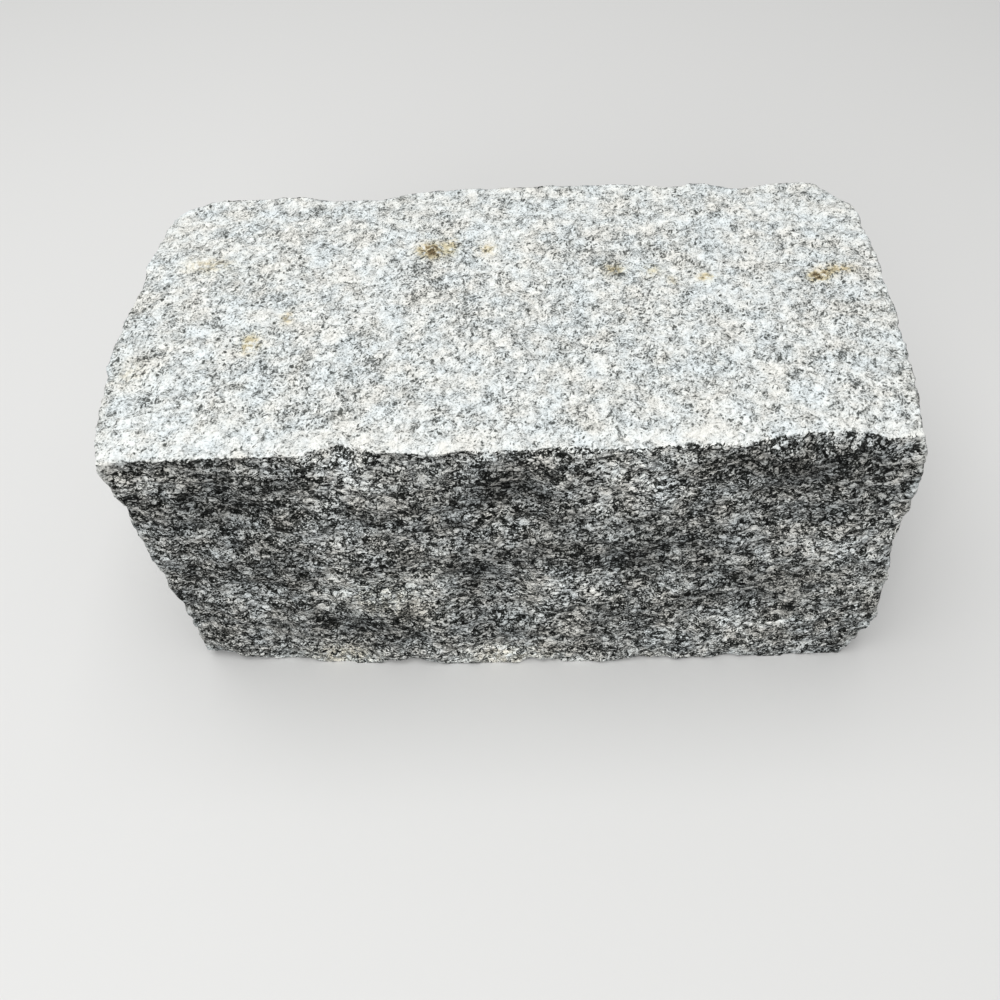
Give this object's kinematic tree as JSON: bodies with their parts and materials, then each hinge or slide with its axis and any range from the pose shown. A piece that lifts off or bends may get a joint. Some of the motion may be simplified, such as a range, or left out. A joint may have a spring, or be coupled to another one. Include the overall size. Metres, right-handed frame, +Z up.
{
  "type": "belgian block",
  "caption": "Hand-split granite belgian block: an oblong paving stone with a flat bed, waved split faces, chipped arrises and broken corners.",
  "frame": {"origin": "middle of the bounding box, on the bed that lies on the floor", "axes": "+X along the length, to the right as the fresh split front is looked at; -Y out of that front; +Z up"},
  "size_m": [0.2524, 0.1354, 0.1104],
  "materials": {
    "granite": "rough split granite, pale and bruised on top, darker and fresh on the sides, with a few rust stains"
  },
  "bodies": {
    "root": {"granite_block": "granite"}
  },
  "joints": []
}
